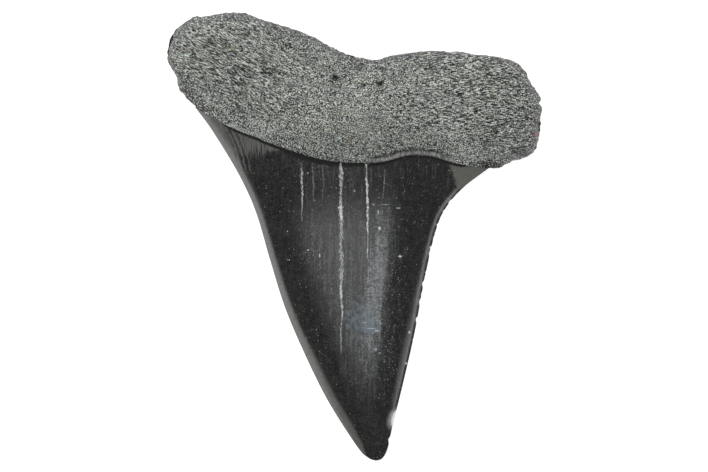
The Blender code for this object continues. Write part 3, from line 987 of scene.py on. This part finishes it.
def enamel_material(colors):
    """Near-black glossy enamel, thin and grey at its edges, with painted reflection, dust, streaks and
    filled cracks.
    """
    material, nodes = empty_material("enamel")
    place = nodes.millimetres()
    painted_sheen, sheen_streak, cloud, dusty, near_root = nodes.values("painted_sheen", "sheen_streak", "cloud", "dusty", "near_root")
    comb, shade, thin, crack, pale = nodes.values("comb", "shade", "thin", "crack", "pale")
    band, rim_strip, fold, folded = nodes.values("band", "rim_strip", "fold", "folded")
    broad, cloudy, fine, lengthwise, hair, mottle, crumbs = nodes.noises(place, ENAMEL_NOISE)

    # Thick enamel with painted reflection in its middle (a sheen and a brighter streak), bluish cloud and
    # fine lines
    base = nodes.blend(nodes.step(broad, 0.35, 0.7), colors.enamel, colors.enamel_warm)
    scuffs = nodes.plus(nodes.centred(fine, 4.5), nodes.centred(cloudy, 2.2))
    base = nodes.scaled(base, nodes.calc("EXPONENT", scuffs))
    # Mottle that makes the painted sheen streak uneven
    glint_and_sheen_mottle = nodes.plus(
        nodes.centred(mottle, 9.5), nodes.centred(lengthwise, 4.0), nodes.centred(cloudy, 3.0),
    )
    streaks = nodes.plus(glint_and_sheen_mottle, nodes.plus(nodes.centred(fine, 3.0), nodes.centred(lengthwise, 4.0)))
    # Painted reflection of the overhead light: a mottled sheen over the middle and a brighter streak in
    # it
    for mask, unevenness, share, tint in (
        (painted_sheen, streaks, SHEEN_SHARE, colors.painted_sheen), (sheen_streak, glint_and_sheen_mottle, SHEEN_STREAK_SHARE, colors.sheen_streak),
    ):
        amount = nodes.times(mask, nodes.calc("EXPONENT", unevenness), share)
        base = nodes.blend(nodes.calc("MINIMUM", amount, 1.0), base, tint)
    clouded = nodes.times(nodes.step(cloud, 0.0, 0.3), nodes.ragged(cloud, cloudy, *WISPS))
    base = nodes.blend(clouded, base, colors.cloud)
    # The pale fine lines near the root take the painted sheen streak's colour
    lines = nodes.times(nodes.step(lengthwise, 0.5, 0.8), nodes.step(near_root, 0, 1, *LINE_SHARES))
    base = nodes.blend(lines, base, colors.sheen_streak)

    # Thin enamel: combed striae, right shoulder, cutting edges, folds and the shade of the ledge
    combed = nodes.times(nodes.ragged(comb, hair, *COMBED), nodes.step(comb, 0, 0.15))
    comb_color = nodes.blend(nodes.step(hair, 0.35, 0.65), colors.thin_warm, colors.thin)
    base = nodes.blend(combed, base, comb_color)
    thinned = nodes.times(nodes.ragged(thin, cloudy, *THINNED), nodes.step(thin, 0.02, 0.2))
    base = nodes.blend(thinned, base, colors.shoulder)
    # The cutting edges' bands: thin enamel's colour and painted reflection of the floor in the bevels
    edge = nodes.times(nodes.ragged(band, cloudy, *BANDED), nodes.calc("SUBTRACT", 1.0, rim_strip))
    band_color = nodes.blend(nodes.ragged(fine, cloudy, *BAND_TINT), colors.thin_warm, colors.thin)
    base = nodes.blend(edge, base, band_color)
    phase = nodes.times(fold, 2 * math.pi / FOLD_SPACING)
    waves = nodes.calc("SINE", nodes.plus(phase, nodes.centred(cloudy, 7.0)))
    for limits, tint in (((0.3, -0.9, 0, 0.6), colors.enamel), ((0.2, 1.0, 0, 0.8), colors.thin)):
        base = nodes.blend(nodes.times(folded, nodes.step(waves, *limits)), base, tint)
    # Painted shade under the root's ledge
    shaded = nodes.times(nodes.ragged(shade, mottle, *SHADED), nodes.step(shade, 0.0, 0.15))
    base = nodes.blend(shaded, base, colors.painted_shade)

    # Dust, flecks, and the painted highlight by the tip with its painted glow
    dust = specks(nodes, place, DUST_SIZE, nodes.ragged(dusty, cloudy, *DUSTED))
    base = nodes.blend(dust, base, colors.dust)
    shift = nodes.add("ShaderNodeTexNoise", {"Vector": place, "Scale": 5.0}).outputs["Color"]
    warped = nodes.vector("ADD", place, nodes.vector("MULTIPLY", shift, (FLECK_WARP, FLECK_WARP, 0)))
    for x, y, wide, long, paleness in FLECKS:
        fleck = spot(nodes, warped, x + FLECK_WARP / 2, y + FLECK_WARP / 2, wide, long)
        base = nodes.blend(nodes.times(fleck, paleness), base, colors.crack_fill)
    # Painted glow round the painted highlight
    glow = nodes.calc("POWER", spot(nodes, place, *GLINT_GLOW, soft=0.0, lean=GLINT_LEAN), 2.5)
    base = nodes.blend(nodes.times(glow, nodes.step(fine, 0.3, 0.7, 0.2, 0.55)), base, colors.glint_and_sheen_mottle)
    base = nodes.blend(spot(nodes, place, *GLINT_SPOT, lean=GLINT_LEAN), base, colors.glint_and_sheen_mottle)

    # Pale matter in the age cracks, and a thin film of it at their sides
    filled = nodes.times(nodes.ragged(crack, crumbs, *CRUMBLED), nodes.step(crack, -0.6, -0.1))
    film = nodes.times(nodes.step(crack, -0.3, 0.5), 0.3)
    filled = nodes.times(nodes.greatest(filled, film), pale)
    base = nodes.blend(filled, base, colors.crack_fill)

    matt = nodes.greatest(filled, dust, shaded)
    roughness = nodes.plus(nodes.step(fine, 0.25, 0.75, *GLOSS), nodes.times(matt, 0.6))
    relief = nodes.plus(nodes.times(mottle, 1.2), lengthwise)
    nodes.surface(base, roughness, 1.6, relief, 0.5, 0.03 * MM)
    return material


def bone_material(colors):
    """Dark grey grained bone: own speckle, painted glints on its grain's ridges, painted shade in its
    pits.
    """
    material, nodes = empty_material("fossil bone")
    place = nodes.millimetres()
    flow = nodes.add("ShaderNodeAttribute", attribute_name="flow").outputs["Vector"]
    grain, tone, streaky, pit_shade = nodes.values("grain", "tone", "streaky", "pit_shade")
    ridge, lip, shadow_line = nodes.values("ridge", "lip", "shadow_line")
    fibres, dots, clumps = nodes.noises(flow, GRAIN_NOISE)
    hue, striae = nodes.noises(place, BONE_NOISE)

    # Colour follows the grain's bump and sunk pits: own speckle plus painted glints and painted shade
    fine = nodes.mix(streaky, dots, fibres)
    level = nodes.plus(
        nodes.centred(fine, GRAIN_CONTRAST), nodes.centred(clumps, 3.0), nodes.centred(grain, 0.4),
        nodes.times(tone, 0.5),
    )
    ridged = nodes.times(level, nodes.calc("SUBTRACT", 1.0, nodes.times(ridge, 0.75)))
    paleness = nodes.calc("MINIMUM", nodes.calc("EXPONENT", ridged), LIGHTEST_GRAIN)
    tint = nodes.blend(nodes.step(hue, 0.35, 0.65), colors.tint_cool, colors.tint_warm)
    base = nodes.vector("MULTIPLY", nodes.scaled(tuple(colors.bone), paleness), tint)
    for x, y, wide, long, name in BONE_SPOTS:
        coloured = nodes.times(spot(nodes, place, x, y, wide, long, 0.1), nodes.step(fine, 0.35, 0.6))
        base = nodes.blend(coloured, base, getattr(colors, name))
    ridge_color = nodes.blend(nodes.step(striae, 0.42, 0.6), colors.ridge_dark, colors.ridge)
    base = nodes.blend(nodes.times(ridge, 0.85), base, ridge_color)
    broken = nodes.times(nodes.step(fine, 0.38, 0.54), nodes.step(striae, 0.36, 0.56, 0.25, 1.0))
    base = nodes.blend(nodes.times(lip, broken), base, colors.lip)
    # Painted shadow line above the root's smooth rim
    base = nodes.blend(nodes.times(shadow_line, nodes.step(fine, 0.66, 0.5)), base, colors.painted_shade)
    # Painted shade in the feeding canals' mouths
    base = nodes.blend(pit_shade, base, colors.painted_shade)
    nodes.surface(base, nodes.step(fine, 0.3, 0.7, 0.62, 0.42), 1.5, fine, 0.8, 0.12 * MM)
    return material


def grain_tree():
    """Geometry Nodes that sink the pits between the bone's fibres and give both materials."""
    tree = bpy.data.node_groups.new("bone grain", "GeometryNodeTree")
    tree.is_modifier = True
    tree.interface.new_socket("Geometry", in_out="OUTPUT", socket_type="NodeSocketGeometry")
    wanted = {"Geometry": ("Geometry",), "Float": ("Grain Size", "Fibre Length", "Grain Depth", "Seed"),
              "Material": ("Enamel", "Bone")}
    for kind, names in wanted.items():
        for name in names:
            tree.interface.new_socket(name, in_out="INPUT", socket_type="NodeSocket" + kind)
    nodes = Nodes(tree)
    given = nodes.add("NodeGroupInput").outputs

    def named(name, kind="FLOAT"):
        return nodes.add("GeometryNodeInputNamedAttribute", {"Name": name}, data_type=kind).outputs[0]

    flow = nodes.parts(named("flow", "FLOAT_VECTOR"))
    across = nodes.calc("DIVIDE", flow[1], given["Grain Size"])
    up = nodes.calc("DIVIDE", flow[2], given["Grain Size"])

    def seeded(length_name):
        """Noise whose cells have that length along the fibres and the grain's size across them."""
        along = nodes.calc("DIVIDE", flow[0], given[length_name])
        place = nodes.add("ShaderNodeCombineXYZ", {0: along, 1: across, 2: up}).outputs[0]
        sockets = {"Vector": place, "W": given["Seed"], "Scale": 1.0, "Detail": 2.0, "Roughness": 0.55}
        return nodes.add("ShaderNodeTexNoise", sockets, noise_dimensions="4D").outputs[0]

    mixed = nodes.mix(named("streaky"), seeded("Grain Size"), seeded("Fibre Length"))
    grain = nodes.step(mixed, 0.32, 0.68)
    depth = nodes.times(nodes.calc("SUBTRACT", grain, 1.0), given["Grain Depth"], named("bone"))
    offset = nodes.scaled(nodes.add("GeometryNodeInputNormal").outputs[0], depth)
    kept = nodes.add("GeometryNodeStoreNamedAttribute", {
        "Geometry": given["Geometry"], "Name": "grain", "Value": grain,
    }, data_type="FLOAT", domain="POINT").outputs[0]
    sunk = nodes.add("GeometryNodeSetPosition", {"Geometry": kept, "Offset": offset}).outputs[0]
    real = nodes.add("GeometryNodeRealizeInstances", {"Geometry": sunk}).outputs[0]
    coated = nodes.add("GeometryNodeSetMaterial", {
        "Geometry": real, "Material": given["Enamel"],
    }).outputs[0]
    rooted = nodes.add("GeometryNodeSetMaterial", {
        "Geometry": coated, "Selection": named("on_root", "BOOLEAN"), "Material": given["Bone"],
    }).outputs[0]
    nodes.add("NodeGroupOutput", {"Geometry": rooted})
    return tree


def linked(name, data):
    """A new object with that data, linked to the scene."""
    made = bpy.data.objects.new(name, data)
    bpy.context.scene.collection.objects.link(made)
    return made


def grained(mesh, sizes, enamel, bone):
    """The mesh after the grain's nodes, as a plain object at the origin."""
    draft = linked("tooth_draft", mesh)
    tree = grain_tree()
    modifier = draft.modifiers.new("bone grain", "NODES")
    modifier.node_group = tree
    values = {"Grain Size": sizes.grain_size / MM, "Fibre Length": sizes.fibre_length / MM,
              "Grain Depth": sizes.grain_depth, "Seed": float(sizes.seed), "Enamel": enamel, "Bone": bone}
    for item in tree.interface.items_tree:
        if item.in_out == "INPUT" and item.name in values:
            modifier[item.identifier] = values[item.name]
    bpy.context.view_layer.update()
    done = bpy.data.meshes.new_from_object(draft.evaluated_get(bpy.context.evaluated_depsgraph_get()))
    bpy.data.objects.remove(draft)
    done.name = "shark_tooth"
    return linked("shark_tooth", done)


def length_field(name, description, default):
    """A length property, with its default in metres."""
    return FloatProperty(name=name, description=description, default=default, unit="LENGTH", precision=6)


def color(name, description, default):
    """A colour property."""
    return FloatVectorProperty(
        name=name, description=description, default=default, subtype="COLOR", size=3, min=0, max=1)


class ToothSizes(bpy.types.PropertyGroup):
    """Lengths that the tooth's mesh and its grain are made from."""

    root_step: length_field("Root step", "Length between points on the root", 0.125 * MM)
    crown_step: length_field("Crown step", "Length between points on the crown", 0.24 * MM)
    grain_size: length_field("Grain size", "Width of the fibres of the root's bone", 0.25 * MM)
    fibre_length: length_field("Fibre length", "Length of the fibres on the root's lobes", 0.9 * MM)
    grain_depth: length_field("Grain depth", "Depth of the pits between the fibres", 0.1 * MM)
    seed: IntProperty(name="Seed", description="Which pattern the grain takes", default=4)


class ToothColors(bpy.types.PropertyGroup):
    """Colours of the enamel and of the bone."""

    enamel: color("Enamel", "Thick enamel of the crown", (0.017, 0.0172, 0.0175))
    enamel_warm: color("Warm enamel", "Thick enamel where it is browner", (0.0225, 0.0222, 0.0212))
    # Colour of the painted reflection (painted sheen) in the crown's middle
    painted_sheen: color("Haze", "Worn enamel in the middle of the crown", (0.085, 0.09, 0.088))
    # Colour of the painted sheen streak; the pale fine lines near the root share it
    sheen_streak: color("Bloom", "Whitish streak along the middle of the crown", (0.24, 0.255, 0.262))
    cloud: color("Cloud", "Bluish spots towards the tip", (0.13, 0.17, 0.2))
    # Thin enamel's colours; in the cutting edges' bands they are also painted reflection of the floor
    thin: color("Thin enamel", "Enamel at the cutting edges and the shoulders", (0.14, 0.14, 0.137))
    thin_warm: color("Warm thin enamel", "Thin enamel where it is olive", (0.095, 0.095, 0.083))
    shoulder: color("Shoulder", "Thin enamel of the right shoulder", (0.145, 0.145, 0.13))
    dust: color("Dust", "Fine pale specks on the enamel", (0.46, 0.46, 0.45))
    crack_fill: color("Crack fill", "Pale matter in the age cracks", (0.72, 0.75, 0.74))
    # Colour of the painted highlight by the tip and of its painted glow
    glint_and_sheen_mottle: color("Worn spot", "Bright worn spot by the tip", (0.98, 0.99, 1.0))
    bone: color("Bone", "Middle tone of the root", (0.098, 0.102, 0.098))
    tint_cool: color("Cool tint", "Cool patches of the root", (0.94, 1.0, 1.0))
    tint_warm: color("Warm tint", "Warm patches of the root", (1.0, 0.985, 0.89))
    ridge: color("Ridge", "Smooth rim of the root over the enamel", (0.3, 0.312, 0.3))
    lip: color("Lip", "Thin light edge of the root over the enamel", (0.52, 0.54, 0.52))
    ridge_dark: color("Dark ridge", "Hollows of the root's smooth rim", (0.09, 0.094, 0.09))
    red: color("Red", "Red spot at the edge of the root", (0.42, 0.1, 0.1))
    pink: color("Pink", "Pinkish spots of the root", (0.42, 0.35, 0.35))
    tan: color("Tan", "Tan spot of the root", (0.3, 0.27, 0.2))
    yellow: color("Yellow", "Yellowish spots of the root", (0.33, 0.32, 0.23))
    # Colour of painted shade: the canals' mouths, the shadow line over the ledge and the shade under it
    painted_shade: color("Hole", "Inside of the feeding canals", (0.008, 0.008, 0.008))


class StageSizes(bpy.types.PropertyGroup):
    """Floor, lights and camera."""

    floor_radius: length_field("Floor radius", "Half width of the floor", 3.0)
    floor_color: color("Floor", "Pale plain floor", (0.5, 0.5, 0.5))
    floor_glow: FloatProperty(
        name="Floor glow", description="Light that the floor passes from below", default=0.85)
    view_width: length_field("View width", "Width of the floor that the camera sees", 79.3 * MM)
    view_middle: FloatVectorProperty(
        name="View middle", description="Place that the camera stands over", size=2,
        default=(-0.056 * MM, 0.084 * MM), unit="LENGTH", precision=6)
    lens: FloatProperty(name="Lens", description="Focal length in millimetres", default=300.0)
    overhead: FloatProperty(name="Overhead", description="Brightness of the overhead panel", default=1.3)
    fill: FloatProperty(
        name="Fill", description="Watts of the soft fill light. The key light has twice as many",
        default=4.0)


class FOSSIL_OT_tooth(bpy.types.Operator):
    """Build the whole tooth, root and crown"""

    bl_idname = "fossil.tooth"
    bl_label = "Tooth"

    def execute(self, context):
        sizes = context.scene.tooth_sizes
        colors = context.scene.tooth_colors
        mesh = tooth_mesh(sizes)
        tooth = grained(mesh, sizes, enamel_material(colors), bone_material(colors))
        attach(tooth, "root")
        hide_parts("tooth")
        return {"FINISHED"}


def soft_light(name, location, size, watts):
    """A soft square light that points at the origin and isn't mirrored in the enamel."""
    light = bpy.data.lights.new(name, "AREA")
    light.shape = "RECTANGLE"
    light.size = size
    light.size_y = size
    light.energy = watts
    lamp = linked(name, light)
    lamp.location = location
    lamp.rotation_mode = "QUATERNION"
    lamp.rotation_quaternion = (-Vector(location)).to_track_quat("-Z", "Y")
    lamp.visible_camera = False
    lamp.visible_glossy = False


def plate(name, corners, material):
    """One flat face with those corners and that material."""
    mesh = bpy.data.meshes.new(name)
    mesh.from_pydata(corners, [], [tuple(range(len(corners)))])
    mesh.materials.append(material)
    return linked(name, mesh)


def overhead_panel(brightness):
    """A glowing panel above the camera, dimmer towards its left and front edges."""
    material, nodes = empty_material("overhead panel")
    x, y, _ = nodes.parts(nodes.object_place())
    left = nodes.step(x, PANEL_X[0], PANEL_FADE[0])
    front = nodes.step(y, PANEL_Y[0], PANEL_FADE[1])
    glow = nodes.add("ShaderNodeEmission", {"Strength": nodes.times(left, front, brightness)})
    nodes.add("ShaderNodeOutputMaterial", {"Surface": glow.outputs[0]})
    ends = ((0, 0), (0, 1), (1, 1), (1, 0))
    corners = [(PANEL_X[across], PANEL_Y[along], PANEL_Z) for across, along in ends]
    panel = plate("overhead_panel", corners, material)
    panel.visible_camera = False


def floor_material(tint, glow):
    """Pale matt floor of a light table, which glows a little and so keeps shadows faint."""
    material, nodes = empty_material("floor")
    shader = nodes.add("ShaderNodeBsdfPrincipled", {
        "Base Color": opaque(tint), "Roughness": FLOOR_ROUGHNESS,
        "Emission Color": WHITE, "Emission Strength": glow,
    })
    nodes.add("ShaderNodeOutputMaterial", {"Surface": shader.outputs[0]})
    return material


def studio_world():
    """A pale room as the camera sees it, and a dim one as the tooth sees it."""
    world = bpy.data.worlds.new("studio")
    world.use_nodes = True
    world.node_tree.nodes.clear()
    nodes = Nodes(world.node_tree)
    seen = nodes.add("ShaderNodeLightPath").outputs["Is Camera Ray"]
    brightness = nodes.step(seen, 0, 1, ROOM_LIGHT, ROOM_BRIGHTNESS)
    background = nodes.add("ShaderNodeBackground", {"Color": WHITE, "Strength": brightness})
    nodes.add("ShaderNodeOutputWorld", {"Surface": background.outputs[0]})
    bpy.context.scene.world = world


class FOSSIL_OT_stage(bpy.types.Operator):
    """Make the pale floor, the soft lights, the room and the camera that looks straight down"""

    bl_idname = "fossil.stage"
    bl_label = "Stage"

    def execute(self, context):
        stage = context.scene.tooth_stage
        turn = np.linspace(0, 2 * math.pi, FLOOR_CORNERS, endpoint=False)
        radius = stage.floor_radius
        corners = [(radius * math.cos(t), radius * math.sin(t), TOOTH_LOW.z) for t in turn]
        floor = plate("floor", corners, floor_material(stage.floor_color, stage.floor_glow))
        studio_world()
        overhead_panel(stage.overhead)
        soft_light("key_light", KEY_PLACE, KEY_SIZE, KEY_TO_FILL * stage.fill)
        soft_light("fill_light", FILL_PLACE, FILL_SIZE, stage.fill)
        camera = bpy.data.cameras.new("camera")
        camera.lens = stage.lens
        camera.sensor_width = SENSOR_WIDTH
        camera.clip_start = NEAREST_SEEN
        eye = linked("camera", camera)
        distance = stage.view_width * stage.lens / camera.sensor_width
        eye.location = (*stage.view_middle, distance + VIEW_PLANE)
        context.scene.camera = eye
        context.scene.view_settings.view_transform = "Standard"
        return {"FINISHED"}


class FOSSIL_PT_panel(bpy.types.Panel):
    """Lists the steps that build the tooth and its stage, with their sizes and colours"""

    bl_label = "Fossil Tooth"
    bl_idname = "FOSSIL_PT_panel"
    bl_space_type = "VIEW_3D"
    bl_region_type = "UI"
    bl_category = "Fossil Tooth"

    def draw(self, context):
        layout = self.layout
        for operator in OPERATORS:
            layout.operator(operator.bl_idname)
        for group_name in GROUPS:
            group = getattr(context.scene, group_name)
            box = layout.box()
            for name in group.__annotations__:
                box.prop(group, name)


OPERATORS = (FOSSIL_OT_tooth, FOSSIL_OT_stage)
GROUPS = {"tooth_sizes": ToothSizes, "tooth_colors": ToothColors, "tooth_stage": StageSizes}


def register():
    for kind in (*GROUPS.values(), *OPERATORS, FOSSIL_PT_panel):
        bpy.utils.register_class(kind)
    for name, kind in GROUPS.items():
        setattr(bpy.types.Scene, name, PointerProperty(type=kind))


def unregister():
    for name in GROUPS:
        delattr(bpy.types.Scene, name)
    for kind in reversed((*GROUPS.values(), *OPERATORS, FOSSIL_PT_panel)):
        bpy.utils.unregister_class(kind)


def main():
    register()
    bpy.ops.fossil.tooth()
    bpy.ops.fossil.stage()


if __name__ == "__main__":
    main()
